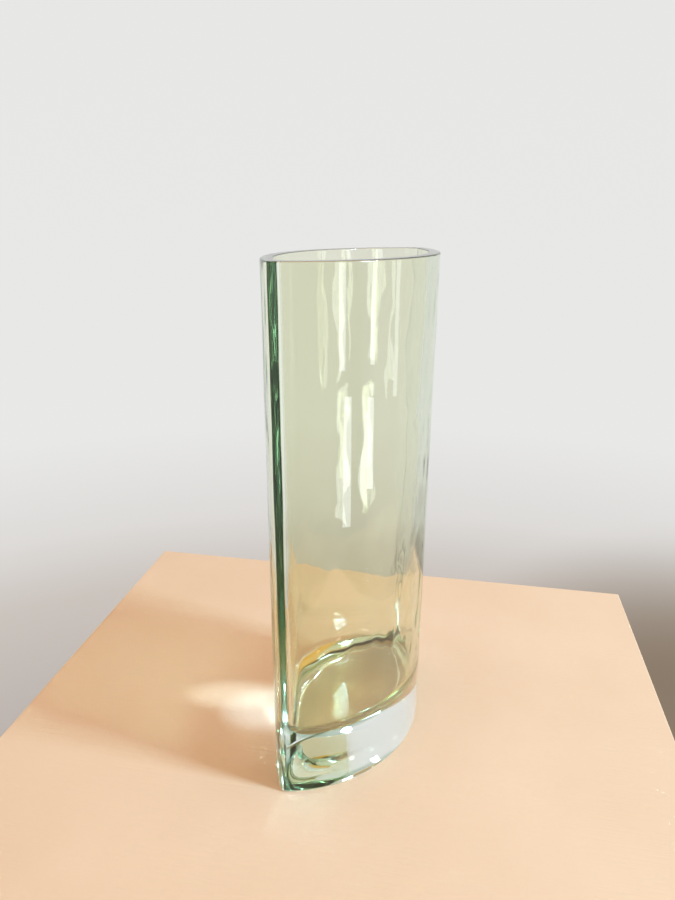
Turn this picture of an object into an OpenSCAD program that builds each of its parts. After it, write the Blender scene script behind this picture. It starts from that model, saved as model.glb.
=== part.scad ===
// Cased glass vase with a pointed oval plan: a green lining inside a clear casing with a heavy clear base.
// The origin is the middle of the foot. X runs from corner to corner, Y across the vase and Z up.

/* [Outline] */
// Height from the foot to the rim
height = 210; // [120:1:320]
// Length of the plan, from corner to corner
length = 99; // [80:1:140]
// Width of the plan across its middle
width = 54; // [44:1:70]
// Radius of the two upright corners
corner_radius = 3; // [2:0.5:6]

/* [Glass] */
// Thickness of the wall, casing and lining together
wall = 4.5; // [3.5:0.25:6]
// Thickness of the green lining
lining = 1.5; // [0.75:0.25:2]
// Height of the cavity's floor above the foot
base = 23; // [12:1:50]
// Radius of the curve between the cavity's wall and its floor
floor_curve = 8; // [2:0.5:10]

/* [Edges] */
// Bevel round the foot
foot_bevel = 1; // [0.5:0.25:1.5]
// Bevel round the outside of the rim
rim_bevel = 0.6; // [0.25:0.05:1]

/* [Hidden] */
$fn = 96;
// How far a cutting solid runs past the face that it opens
overrun = 1;
half_length = length / 2;
half_width = width / 2;
// Each side of the body is one arc that runs into the arcs of both corners
body_arc = (pow(half_length - corner_radius, 2) + pow(half_width, 2) - pow(corner_radius, 2))
  / (2 * (half_width - corner_radius));
// Distance from the long axis to the centre of a side's arc
arc_offset = body_arc - half_width;
// Distance from the middle to a corner's centre
corner_x = half_length - corner_radius;
cavity_arc = body_arc - wall;
// The nest is the hollow of the casing, which the lining fills
nest_arc = cavity_arc + lining;

// Half of the body's upright section, at radius r from the axis of a side or a corner
module body_section(r) {
  polygon([
    [0, 0],
    [r - foot_bevel, 0],
    [r, foot_bevel],
    [r, height - rim_bevel],
    [r - rim_bevel, height],
    [0, height]
  ]);
}

// The part of the plan that one side of the body fills, up to the centres of both corners
module side_sector() {
  reach = 3;
  polygon([
    [corner_x, 0],
    [corner_x * reach, arc_offset * (1 - reach)],
    [-corner_x * reach, arc_offset * (1 - reach)],
    [-corner_x, 0]
  ]);
}

module body_side() {
  intersection() {
    translate([0, arc_offset, 0])
      rotate_extrude()
        body_section(body_arc);
    translate([0, 0, -overrun])
      linear_extrude(height + 2 * overrun)
        side_sector();
  }
}

module body_corner() {
  translate([corner_x, 0, 0])
    rotate_extrude()
      body_section(corner_radius);
}

module body() {
  for (turn = [0, 180])
    rotate(turn) {
      body_side();
      body_corner();
    }
}

// Half of a hollow's upright section, with a curve between its wall and its floor
module hollow_section(r, floor_z, curve, top_z) {
  translate([0, floor_z])
    square([r - curve, curve + overrun]);
  translate([0, floor_z + curve])
    square([r, top_z - floor_z - curve]);
  translate([r - curve, floor_z + curve])
    circle(curve);
}

// A hollow whose two sides meet in upright corners
module hollow(r, floor_z, curve, top_z) {
  intersection() {
    translate([0, arc_offset, 0])
      rotate_extrude()
        hollow_section(r, floor_z, curve, top_z);
    translate([0, -arc_offset, 0])
      rotate_extrude()
        hollow_section(r, floor_z, curve, top_z);
  }
}

module nest(top_z) {
  hollow(nest_arc, base - lining, floor_curve + lining, top_z);
}

module cavity() {
  hollow(cavity_arc, base, floor_curve, height + overrun);
}

module clear_casing() {
  color([0.84, 0.92, 0.89, 0.45])
    difference() {
      body();
      nest(height + overrun);
    }
}

module green_lining() {
  color([0.66, 0.74, 0.42, 0.6])
    difference() {
      nest(height);
      cavity();
    }
}

clear_casing();
green_lining();
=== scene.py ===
import math

import bmesh
import bpy
from mathutils import Matrix, Vector, noise


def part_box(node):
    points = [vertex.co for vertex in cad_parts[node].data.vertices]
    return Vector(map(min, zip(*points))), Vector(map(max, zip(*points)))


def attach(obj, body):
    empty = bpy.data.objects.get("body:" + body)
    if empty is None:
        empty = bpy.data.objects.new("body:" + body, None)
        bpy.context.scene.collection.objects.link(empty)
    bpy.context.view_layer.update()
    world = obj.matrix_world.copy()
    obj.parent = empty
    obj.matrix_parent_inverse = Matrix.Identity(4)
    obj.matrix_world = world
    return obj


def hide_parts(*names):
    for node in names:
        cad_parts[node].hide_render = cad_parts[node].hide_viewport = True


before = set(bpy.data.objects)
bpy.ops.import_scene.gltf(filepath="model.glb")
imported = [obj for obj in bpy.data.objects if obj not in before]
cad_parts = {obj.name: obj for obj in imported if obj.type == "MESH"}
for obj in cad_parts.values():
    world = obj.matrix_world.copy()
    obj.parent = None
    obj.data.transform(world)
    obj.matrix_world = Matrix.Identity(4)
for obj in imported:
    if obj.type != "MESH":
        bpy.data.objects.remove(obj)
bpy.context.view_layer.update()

MM = 0.001

# ---------------------------------------------------------------- driving dimensions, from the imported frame

body_low, body_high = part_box("clear_casing")
lining_low, lining_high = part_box("green_lining")

HEIGHT = body_high.z
HALF_LENGTH = body_high.x
HALF_WIDTH = body_high.y
CORNER = 3.0 * MM
LINING = 1.5 * MM
WALL = HALF_WIDTH - lining_high.y + LINING
BASE = lining_low.z + LINING

# Each side of the plan is one arc. The cavity's arcs have their centres a little further out and so are
# flatter, which thins the wall by about a quarter of a millimetre towards the tips.
SIDE = ((HALF_LENGTH - CORNER) ** 2 + HALF_WIDTH ** 2 - CORNER ** 2) / (2 * (HALF_WIDTH - CORNER))
OFFSET = SIDE - HALF_WIDTH
CENTRE_SHIFT = 0.55 * MM
CAVITY_OFFSET = OFFSET + CENTRE_SHIFT
CAVITY_SIDE = CAVITY_OFFSET + HALF_WIDTH - WALL
CAVITY_CORNER = 5.2 * MM
# The cavity's wall runs down to its floor in a curve that stops short of level, which leaves a faint crease.
CURVE_WIDE = 7.5 * MM
CURVE_HIGH = 9.0 * MM
CURVE_TURN = math.radians(75.0)

FOOT_EDGE = 0.9 * MM
RIM_OUTER = 0.7 * MM
RIM_INNER = 0.5 * MM
SKIN_GAP = 0.03 * MM
FLOOR_DISH = 0.6 * MM

SIDE_STEPS = 88
CORNER_STEPS = 14
EDGE_STEPS = 7
CURVE_STEPS = 14
WALL_STEPS = 96
CAP_STEPS = 30

# Loops this close to an edge or to the end of a wall hold the shape of the curve beside them.
HELD = 0.15 * MM
FOOT_HELD = 0.2 * MM
LINING_EDGE = 0.1 * MM

# Hand-worked glass strays a little from the true surface, with a broad wave and, inside, a finer ripple.
WAVE_OUTER = 0.05 * MM
WAVE_INNER = 0.13 * MM
RIPPLE_INNER = 0.07 * MM
OUTER_SEED, WAVE_SEED, RIPPLE_SEED = 4.3, 11.9, 3.1
OUTER_SIZE = (19 * MM, 70 * MM)
WAVE_SIZE = (14 * MM, 48 * MM)
RIPPLE_SIZE = (5 * MM, 13 * MM)
FADE_LOW = 15 * MM
FADE_HIGH = 9 * MM
# Taken off the wave, which rarely rises above it, so that the outside strays inwards and never past the CAD.
OUTER_CREST = 1.2

GLASS_IOR = 1.52


# ---------------------------------------------------------------- plan and surfaces

def ring(side, corner, offset=OFFSET):
    """Closed outline of the plan, from the +X tip round through +Y: [(x, y, outward x, outward y)]."""
    tip = math.sqrt((side - corner) ** 2 - offset ** 2)
    turn = math.atan2(offset, tip)
    quarter = []
    for i in range(CORNER_STEPS // 2):
        a = turn * i / (CORNER_STEPS // 2)
        quarter.append((tip + corner * math.cos(a), corner * math.sin(a), math.cos(a), math.sin(a)))
    for i in range(SIDE_STEPS // 2 + 1):
        a = turn + (math.pi / 2 - turn) * i / (SIDE_STEPS // 2)
        quarter.append((side * math.cos(a), side * math.sin(a) - offset, math.cos(a), math.sin(a)))
    upper = quarter + [(-x, y, -u, v) for x, y, u, v in reversed(quarter[:-1])]
    return upper + [(x, -y, u, -v) for x, y, u, v in reversed(upper[1:-1])]


def smooth(t):
    t = max(0.0, min(1.0, t))
    return t * t * (3 - 2 * t)


def fade(z, low, high):
    """From 0 at both ends of a wall to 1 away from them."""
    return smooth((z - low) / FADE_LOW) * smooth((high - z) / FADE_HIGH)


def wave(x, y, z, seed, size, low, high):
    """How far the surface strays, mostly -1 to 1: waves of a size across and up, which fade at both ends."""
    across, up = size
    p = Vector((x / across, y / across, z / up + seed))
    return fade(z, low, high) * (noise.noise(p) + 0.45 * noise.noise(p * 2.3 + Vector((seed, 7.1, 3.7))))


CAVITY_RING = ring(CAVITY_SIDE, CAVITY_CORNER, CAVITY_OFFSET)


def outer_loop(inset, z):
    """One loop of the outside, inset from the full outline."""
    low, high = FOOT_EDGE, HEIGHT - RIM_OUTER
    loop = []
    for x, y, u, v in ring(SIDE - inset, CORNER - inset):
        d = WAVE_OUTER * (wave(x, y, z, OUTER_SEED, OUTER_SIZE, low, high) - OUTER_CREST)
        d = min(0.0, d) * fade(z, low, high)
        loop.append(Vector((x + u * d, y + v * d, z)))
    return loop


def cavity_loop(outset, z):
    """One loop of the cavity's wall, or of a surface outset into the glass from it."""
    low, high = BASE + CURVE_HIGH, HEIGHT - RIM_INNER
    loop = []
    outline = ring(CAVITY_SIDE + outset, CAVITY_CORNER + max(0.0, outset), CAVITY_OFFSET)
    for (x, y, u, v), (cx, cy, _, _) in zip(outline, CAVITY_RING):
        d = WAVE_INNER * wave(cx, cy, z, WAVE_SEED, WAVE_SIZE, low, high)
        d += RIPPLE_INNER * wave(cx, cy, z, RIPPLE_SEED, RIPPLE_SIZE, low, high)
        loop.append(Vector((x + u * d, y + v * d, z)))
    return loop


def turns(steps, end=math.pi / 2):
    """Angles in even steps from 0 to the end."""
    return [end * i / steps for i in range(steps + 1)]


def levels(low, high, steps):
    """Heights between two ends, without the ends, but with one held close to each of them."""
    inner = [low + (high - low) * i / steps for i in range(1, steps)]
    return [low + HELD] + inner + [high - HELD]


def cap(loop, height_at=None):
    """Points across a closed loop, column by column, between its +Y and its -Y points."""
    half = len(loop) // 2
    columns = []
    for i in range(1, half):
        a, b = loop[i], loop[-i]
        column = []
        for j in range(1, CAP_STEPS):
            p = a.lerp(b, j / CAP_STEPS)
            if height_at:
                p.z += height_at(i / half * 2 - 1, j / CAP_STEPS * 2 - 1)
            column.append(p)
        columns.append(column)
    return columns


def floor_dish(along, across):
    """Height of the cavity's floor, which sinks a little towards its middle."""
    return -FLOOR_DISH * (1 - along ** 2) ** 2 * (1 - across ** 2) ** 2


def skin(name, loops, first_cap, last_cap):
    """Closed mesh from a stack of loops and the two caps that close its ends."""
    bm = bmesh.new()
    rows = [[bm.verts.new(p) for p in loop] for loop in loops]
    count = len(rows[0])
    for low, high in zip(rows, rows[1:]):
        for i in range(count):
            k = (i + 1) % count
            bm.faces.new((low[i], low[k], high[k], high[i]))
    for row, columns in ((rows[0], first_cap), (rows[-1], last_cap)):
        close(bm, row, columns)
    bmesh.ops.recalc_face_normals(bm, faces=bm.faces)
    mesh = bpy.data.meshes.new(name)
    bm.to_mesh(mesh)
    bm.free()
    mesh.polygons.foreach_set("use_smooth", [True] * len(mesh.polygons))
    piece = bpy.data.objects.new(name, mesh)
    bpy.context.scene.collection.objects.link(piece)
    return piece


def close(bm, row, columns):
    """Fills a loop with a grid of its cap's columns, and a fan at each tip."""
    half = len(row) // 2
    lines = []
    for i, column in enumerate(columns):
        lines.append([row[i + 1]] + [bm.verts.new(p) for p in column] + [row[-i - 1]])
    for a, b in zip(lines, lines[1:]):
        for j in range(len(a) - 1):
            bm.faces.new((a[j], a[j + 1], b[j + 1], b[j]))
    for tip, line in ((row[0], lines[0]), (row[half], lines[-1])):
        for j in range(len(line) - 1):
            bm.faces.new((tip, line[j], line[j + 1]))


def cavity_profile(outset, top):
    """Loops of the cavity's surface from below the rim down to the floor, outset into the glass."""
    z_curve = BASE + CURVE_HIGH
    loops = [cavity_loop(outset, z) for z in reversed(levels(z_curve, top, WALL_STEPS))]
    wide = CURVE_WIDE / (1 - math.cos(CURVE_TURN))
    high = CURVE_HIGH / math.sin(CURVE_TURN)
    for a in turns(CURVE_STEPS, CURVE_TURN):
        across, down = high * math.cos(a), wide * math.sin(a)
        size = math.hypot(across, down)
        inset = wide * (1 - math.cos(a)) - outset * across / size
        loops.append(cavity_loop(-inset, z_curve - high * math.sin(a) - outset * down / size))
    return loops


def glass_body():
    """All the glass as one closed skin: foot, outside, rim, cavity and floor."""
    loops = []
    for a in turns(EDGE_STEPS):
        loops.append(outer_loop(FOOT_EDGE * (1 - math.sin(a)), FOOT_EDGE * (1 - math.cos(a))))
    loops.insert(0, outer_loop(FOOT_EDGE + FOOT_HELD, 0.0))
    rim_low = HEIGHT - RIM_OUTER
    loops += [outer_loop(0.0, z) for z in levels(FOOT_EDGE, rim_low, WALL_STEPS)]
    for a in turns(EDGE_STEPS):
        loops.append(outer_loop(RIM_OUTER * (1 - math.cos(a)), rim_low + RIM_OUTER * math.sin(a)))
    loops.append(outer_loop(RIM_OUTER + HELD, HEIGHT))
    outside = len(loops) * len(loops[0])
    loops.append(cavity_loop(RIM_INNER + HELD, HEIGHT))
    rim_low = HEIGHT - RIM_INNER
    for a in reversed(turns(EDGE_STEPS)):
        loops.append(cavity_loop(RIM_INNER * (1 - math.cos(a)), rim_low + RIM_INNER * math.sin(a)))
    loops += cavity_profile(0.0, rim_low)
    foot = cap(loops[0])
    body = skin("vase_body", loops, foot, cap(loops[-1], floor_dish))
    mark_lined(body, outside, len(loops) * len(loops[0]), sum(len(column) for column in foot))
    return body


def mark_lined(body, outside, looped, foot):
    """Marks the points of the cavity's surface, where the green layer meets the air."""
    lined = body.data.attributes.new("lined", "FLOAT", "POINT")
    for i, value in enumerate(lined.data):
        value.value = float(outside <= i < looped or i >= looped + foot)


def lining_shell():
    """The green layer, just under the cavity's surface: a closed shell with its own floor."""
    top = HEIGHT - SKIN_GAP
    loops = list(reversed(cavity_profile(SKIN_GAP, HEIGHT - RIM_INNER)))
    r = RIM_INNER - SKIN_GAP
    for a in turns(EDGE_STEPS):
        loops.append(cavity_loop(RIM_INNER - r * math.cos(a), HEIGHT - RIM_INNER + r * math.sin(a)))
    loops.append(cavity_loop(LINING - LINING_EDGE, top))
    loops.append(cavity_loop(LINING, top - LINING_EDGE))
    loops += cavity_profile(LINING, top - LINING_EDGE)
    return skin("vase_lining", loops, cap(loops[0], floor_dish), cap(loops[-1], floor_dish))


# ---------------------------------------------------------------- materials

def new_material(name):
    material = bpy.data.materials.new(name)
    material.use_nodes = True
    nodes = material.node_tree.nodes
    nodes.clear()
    return material, nodes, material.node_tree.links


def object_noise(nodes, links, scale, detail, seed):
    """Noise over the object's own coordinates, with its own scale along each axis."""
    place = nodes.new("ShaderNodeTexCoord")
    mapping = nodes.new("ShaderNodeMapping")
    mapping.inputs["Scale"].default_value = scale
    mapping.inputs["Location"].default_value = (seed, seed * 1.7, seed * 0.6)
    pattern = nodes.new("ShaderNodeTexNoise")
    pattern.inputs["Scale"].default_value = 1.0
    pattern.inputs["Detail"].default_value = detail
    links.new(place.outputs["Object"], mapping.inputs["Vector"])
    links.new(mapping.outputs["Vector"], pattern.inputs["Vector"])
    return pattern


def raised(nodes, links, pattern, strength, distance, shader):
    """Raises a shader's surface by a pattern."""
    bump = nodes.new("ShaderNodeBump")
    bump.inputs["Strength"].default_value = strength
    bump.inputs["Distance"].default_value = distance
    links.new(pattern.outputs["Fac"], bump.inputs["Height"])
    links.new(bump.outputs["Normal"], shader.inputs["Normal"])


def volume(nodes, links, output, colour, density):
    """Gives a material depth that absorbs light, less of it in the colour named; density is per metre."""
    absorb = nodes.new("ShaderNodeVolumeAbsorption")
    absorb.inputs["Color"].default_value = (*colour, 1.0)
    absorb.inputs["Density"].default_value = density
    links.new(absorb.outputs["Volume"], output.inputs["Volume"])


def clear_glass():
    """Polished glass, tinted aqua through its depth, with faint draw lines and a haze of handling.

    The cavity's surface, marked as lined, also takes on part of the green layer's colour.
    """
    material, nodes, links = new_material("clear_glass")
    output = nodes.new("ShaderNodeOutputMaterial")
    shader = nodes.new("ShaderNodeBsdfPrincipled")
    lined = nodes.new("ShaderNodeAttribute")
    lined.attribute_name = "lined"
    tint = nodes.new("ShaderNodeMix")
    tint.data_type = "RGBA"
    tint.inputs["A"].default_value = (1.0, 1.0, 1.0, 1.0)
    tint.inputs["B"].default_value = (1.0, 0.968, 0.845, 1.0)
    links.new(lined.outputs["Fac"], tint.inputs["Factor"])
    links.new(tint.outputs["Result"], shader.inputs["Base Color"])
    shader.inputs["IOR"].default_value = GLASS_IOR
    shader.inputs["Transmission Weight"].default_value = 1.0
    haze = object_noise(nodes, links, (160.0, 160.0, 160.0 / 3), 3.0, 2.0)
    spread = nodes.new("ShaderNodeMapRange")
    spread.inputs["From Min"].default_value = 0.45
    spread.inputs["From Max"].default_value = 0.8
    spread.inputs["To Min"].default_value = 0.0
    spread.inputs["To Max"].default_value = 0.02
    links.new(haze.outputs["Fac"], spread.inputs["Value"])
    links.new(spread.outputs["Result"], shader.inputs["Roughness"])
    lines = object_noise(nodes, links, (90.0, 90.0, 15.0), 2.0, 5.0)
    raised(nodes, links, lines, 0.35, 0.06 * MM, shader)
    links.new(shader.outputs["BSDF"], output.inputs["Surface"])
    volume(nodes, links, output, (0.45, 0.84, 0.70), 2.4)
    return material


def green_glass():
    """The green layer: it bends no light of its own, and absorbs red more than blue and green."""
    material, nodes, links = new_material("green_glass")
    output = nodes.new("ShaderNodeOutputMaterial")
    shader = nodes.new("ShaderNodeBsdfPrincipled")
    shader.inputs["Base Color"].default_value = (1.0, 1.0, 0.93, 1.0)
    shader.inputs["IOR"].default_value = 1.0
    shader.inputs["Roughness"].default_value = 0.0
    shader.inputs["Transmission Weight"].default_value = 1.0
    links.new(shader.outputs["BSDF"], output.inputs["Surface"])
    volume(nodes, links, output, (0.05, 0.32, 0.28), 50.0)
    return material


def painted_board():
    """Pale painted board, a little uneven in tone, with fine brush marks."""
    material, nodes, links = new_material("painted_board")
    output = nodes.new("ShaderNodeOutputMaterial")
    shader = nodes.new("ShaderNodeBsdfPrincipled")
    shader.inputs["Roughness"].default_value = 0.62
    broad = object_noise(nodes, links, (14.0, 14.0, 14.0), 3.0, 8.0)
    tint = nodes.new("ShaderNodeValToRGB")
    tint.color_ramp.elements[0].position = 0.35
    tint.color_ramp.elements[0].color = (0.745, 0.508, 0.335, 1.0)
    tint.color_ramp.elements[1].position = 0.7
    tint.color_ramp.elements[1].color = (0.778, 0.538, 0.365, 1.0)
    links.new(broad.outputs["Fac"], tint.inputs["Fac"])
    links.new(tint.outputs["Color"], shader.inputs["Base Color"])
    marks = object_noise(nodes, links, (900.0, 60.0, 60.0), 3.0, 0.0)
    raised(nodes, links, marks, 0.6, 0.2 * MM, shader)
    links.new(shader.outputs["BSDF"], output.inputs["Surface"])
    return material


# ---------------------------------------------------------------- stage

PLINTH = 0.3
PLINTH_DROP = 0.75
PLINTH_TURN = math.radians(24.0)
PLINTH_CENTRE = Vector((-0.0107, -0.0008, 0.0))
PLINTH_EDGE = 0.6 * MM
AIR_GAP = 0.25 * MM
# Three soft patches of the room, all below eye level, each by its azimuth and elevation in degrees: the dim
# side beside the camera, the lit wall across from it, and a low brown corner to the right of the plinth.
DIM_SIDE = (-112.0, -22.0)
LIT_WALL = (103.0, -18.0)
BROWN_CORNER = (-3.0, -48.0)
BROWN = (0.26, 0.20, 0.145, 1.0)
PANEL_DISTANCE = 1.6
# Azimuth that the two spots on the plinth come from, in degrees
SPOT_SIDE = 125.0
SPOT_DISTANCE = 0.4
DAYLIGHT = (0.88, 0.96, 1.0)

# The camera, fitted to the plinth's corners and to the vase's outlines in the photo, with angles in degrees.
EYE = (-0.21444, -0.13818, 0.22575)
EYE_TURN = -55.765
EYE_DOWN = 19.756
EYE_ROLL = 0.299
LENS = 27.08


def plinth():
    """A square plinth of painted board, whose top is the pale floor under the vase."""
    bm = bmesh.new()
    bmesh.ops.create_cube(bm, size=1.0)
    bmesh.ops.scale(bm, vec=(PLINTH, PLINTH, PLINTH_DROP), verts=bm.verts)
    bmesh.ops.bevel(bm, geom=bm.edges[:], offset=PLINTH_EDGE, segments=3, affect="EDGES", profile=0.5)
    mesh = bpy.data.meshes.new("floor_plinth")
    bm.to_mesh(mesh)
    bm.free()
    mesh.polygons.foreach_set("use_smooth", [False] * len(mesh.polygons))
    board = bpy.data.objects.new("floor_plinth", mesh)
    bpy.context.scene.collection.objects.link(board)
    board.location = PLINTH_CENTRE - Vector((0.0, 0.0, PLINTH_DROP / 2 + AIR_GAP))
    board.rotation_euler = (0.0, 0.0, PLINTH_TURN)
    board.data.materials.append(painted_board())
    return board


def direction(azimuth, elevation):
    """Unit vector that points towards an azimuth and an elevation, in degrees."""
    azimuth, elevation = math.radians(azimuth), math.radians(elevation)
    level = math.cos(elevation)
    return Vector((math.cos(azimuth) * level, math.sin(azimuth) * level, math.sin(elevation)))


def patch(nodes, links, place, towards, edge, core, outside, inside):
    """Value that changes softly towards one direction; edge and core are cosines of the angle from it."""
    facing = nodes.new("ShaderNodeVectorMath")
    facing.operation = "DOT_PRODUCT"
    facing.inputs[1].default_value = direction(*towards)
    value = nodes.new("ShaderNodeMapRange")
    value.interpolation_type = "SMOOTHSTEP"
    value.inputs["From Min"].default_value = edge
    value.inputs["From Max"].default_value = core
    value.inputs["To Min"].default_value = outside
    value.inputs["To Max"].default_value = inside
    links.new(place.outputs["Generated"], facing.inputs[0])
    links.new(facing.outputs["Value"], value.inputs["Value"])
    return value


def surroundings():
    """A soft pale room: even light from the walls, darker near the ground and warm from the ceiling."""
    world = bpy.data.worlds.new("soft_room")
    world.use_nodes = True
    bpy.context.scene.world = world
    nodes, links = world.node_tree.nodes, world.node_tree.links
    nodes.clear()
    place = nodes.new("ShaderNodeTexCoord")
    split = nodes.new("ShaderNodeSeparateXYZ")
    ramp = nodes.new("ShaderNodeValToRGB")
    background = nodes.new("ShaderNodeBackground")
    output = nodes.new("ShaderNodeOutputWorld")
    rescale = nodes.new("ShaderNodeMapRange")
    rescale.inputs["From Min"].default_value = -1.0
    rescale.inputs["From Max"].default_value = 1.0
    # Sine of the elevation, and the room's colour there
    stops = (
        (-0.95, (0.40, 0.36, 0.33)),
        (-0.62, (0.50, 0.45, 0.42)),
        (-0.50, (0.60, 0.55, 0.51)),
        (-0.42, (0.73, 0.71, 0.69)),
        (-0.30, (0.81, 0.81, 0.80)),
        (0.30, (0.80, 0.80, 0.79)),
        (0.76, (0.80, 0.79, 0.78)),
        (0.86, (0.94, 0.47, 0.03)),
    )
    while len(ramp.color_ramp.elements) < len(stops):
        ramp.color_ramp.elements.new(0.5)
    for element, (height, colour) in zip(ramp.color_ramp.elements, stops):
        element.position = (height + 1) / 2
        element.color = (*colour, 1.0)
    links.new(place.outputs["Generated"], split.inputs["Vector"])
    links.new(split.outputs["Z"], rescale.inputs["Value"])
    links.new(rescale.outputs["Result"], ramp.inputs["Fac"])
    dim = patch(nodes, links, place, DIM_SIDE, edge=0.77, core=0.93, outside=1.0, inside=0.3)
    lit = patch(nodes, links, place, LIT_WALL, edge=0.875, core=0.98, outside=1.0, inside=1.25)
    brown = patch(nodes, links, place, BROWN_CORNER, edge=0.895, core=0.97, outside=0.0, inside=1.0)
    strength = nodes.new("ShaderNodeMath")
    strength.operation = "MULTIPLY"
    links.new(dim.outputs["Result"], strength.inputs[0])
    links.new(lit.outputs["Result"], strength.inputs[1])
    shade = nodes.new("ShaderNodeMix")
    shade.data_type = "RGBA"
    shade.inputs["B"].default_value = BROWN
    links.new(brown.outputs["Result"], shade.inputs["Factor"])
    links.new(ramp.outputs["Color"], shade.inputs["A"])
    links.new(shade.outputs["Result"], background.inputs["Color"])
    links.new(strength.outputs["Value"], background.inputs["Strength"])
    links.new(background.outputs["Background"], output.inputs["Surface"])


def panel(name, azimuth, low, high, across, radiance, colour):
    """A soft rectangular light that faces the vase; its place and its size are angles seen from the vase."""
    towards = direction(azimuth, (low + high) / 2)
    light = bpy.data.lights.new(name, "AREA")
    light.shape = "RECTANGLE"
    light.size = 2 * PANEL_DISTANCE * math.tan(math.radians(across / 2))
    light.size_y = 2 * PANEL_DISTANCE * math.tan(math.radians((high - low) / 2))
    light.energy = radiance * math.pi * light.size * light.size_y
    light.color = colour
    lamp = bpy.data.objects.new(name, light)
    bpy.context.scene.collection.objects.link(lamp)
    lamp.location = Vector((0.0, 0.0, HEIGHT / 2)) + towards * PANEL_DISTANCE
    lamp.rotation_euler = towards.to_track_quat("Z", "Y").to_euler()
    lamp.visible_camera = False
    return lamp


def spot(name, x, y, elevation, across, energy, colour):
    """A small soft spot of light on the plinth, which comes from beyond the vase's +Y side."""
    target = Vector((x, y, 0.0))
    towards = direction(SPOT_SIDE, elevation)
    light = bpy.data.lights.new(name, "SPOT")
    light.energy = energy
    light.color = colour
    light.spot_size = math.radians(across)
    light.spot_blend = 1.0
    light.shadow_soft_size = 2 * MM
    lamp = bpy.data.objects.new(name, light)
    bpy.context.scene.collection.objects.link(lamp)
    lamp.location = target + towards * SPOT_DISTANCE
    lamp.rotation_euler = towards.to_track_quat("Z", "Y").to_euler()
    lamp.visible_glossy = False
    lamp.visible_transmission = False


def focused_patch():
    """Stands in for the patch of light that the vase focuses on the plinth beside it."""
    # Place on the plinth in metres, elevation and width in degrees, then energy and colour
    spot("patch_near", -0.0165, 0.0385, 46.0, 5.2, 9.0, (0.30, 0.60, 0.95))
    spot("patch_far", -0.0175, 0.0575, 27.0, 3.6, 14.0, (0.36, 0.62, 0.80))


def lights():
    """A high window that casts the shadow, five panes that draw the streaks in the glass, and the patch."""
    # Azimuth, lowest and highest elevation and width, in degrees, then radiance and colour
    panel("window_high", -76.0, 26.0, 39.0, 9.0, 86.0, (0.62, 1.04, 1.40))
    panel("window_left", -56.0, -13.0, 12.0, 4.0, 3.0, DAYLIGHT)
    panel("window_middle", -78.0, -10.0, 12.0, 3.6, 5.0, DAYLIGHT)
    panel("window_right", -103.0, -10.5, 12.0, 5.0, 5.0, DAYLIGHT)
    panel("window_low_left", -79.0, -22.0, -13.0, 5.0, 5.5, DAYLIGHT)
    panel("window_low_right", -98.0, -25.5, -13.0, 6.0, 5.5, DAYLIGHT)
    focused_patch()


def camera():
    """The view of the photograph: from above the near corner, a little to the -Y side."""
    lens = bpy.data.cameras.new("view")
    lens.sensor_width = 36.0
    lens.lens = LENS
    lens.clip_start = 0.01
    lens.clip_end = 50.0
    eye = bpy.data.objects.new("view", lens)
    bpy.context.scene.collection.objects.link(eye)
    turn = Matrix.Rotation(math.radians(EYE_TURN), 4, "Z")
    tilt = Matrix.Rotation(math.radians(90.0 - EYE_DOWN), 4, "X")
    roll = Matrix.Rotation(math.radians(EYE_ROLL), 4, "Z")
    eye.matrix_world = Matrix.Translation(EYE) @ turn @ tilt @ roll
    bpy.context.scene.camera = eye


# ---------------------------------------------------------------- assembly

def build():
    body = glass_body()
    body.data.materials.append(clear_glass())
    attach(body, "root")
    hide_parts("clear_casing")
    lining = lining_shell()
    lining.data.materials.append(green_glass())
    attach(lining, "root")
    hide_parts("green_lining")
    plinth()
    surroundings()
    lights()
    camera()


build()

scene = bpy.context.scene
scene.view_settings.view_transform = "Standard"
scene.cycles.max_bounces = 128
scene.cycles.transmission_bounces = 128
scene.cycles.glossy_bounces = 128
scene.cycles.diffuse_bounces = 4
scene.cycles.transparent_max_bounces = 8
scene.cycles.blur_glossy = 0.15
scene.cycles.caustics_reflective = True
scene.cycles.caustics_refractive = True
scene.cycles.sample_clamp_indirect = 90.0
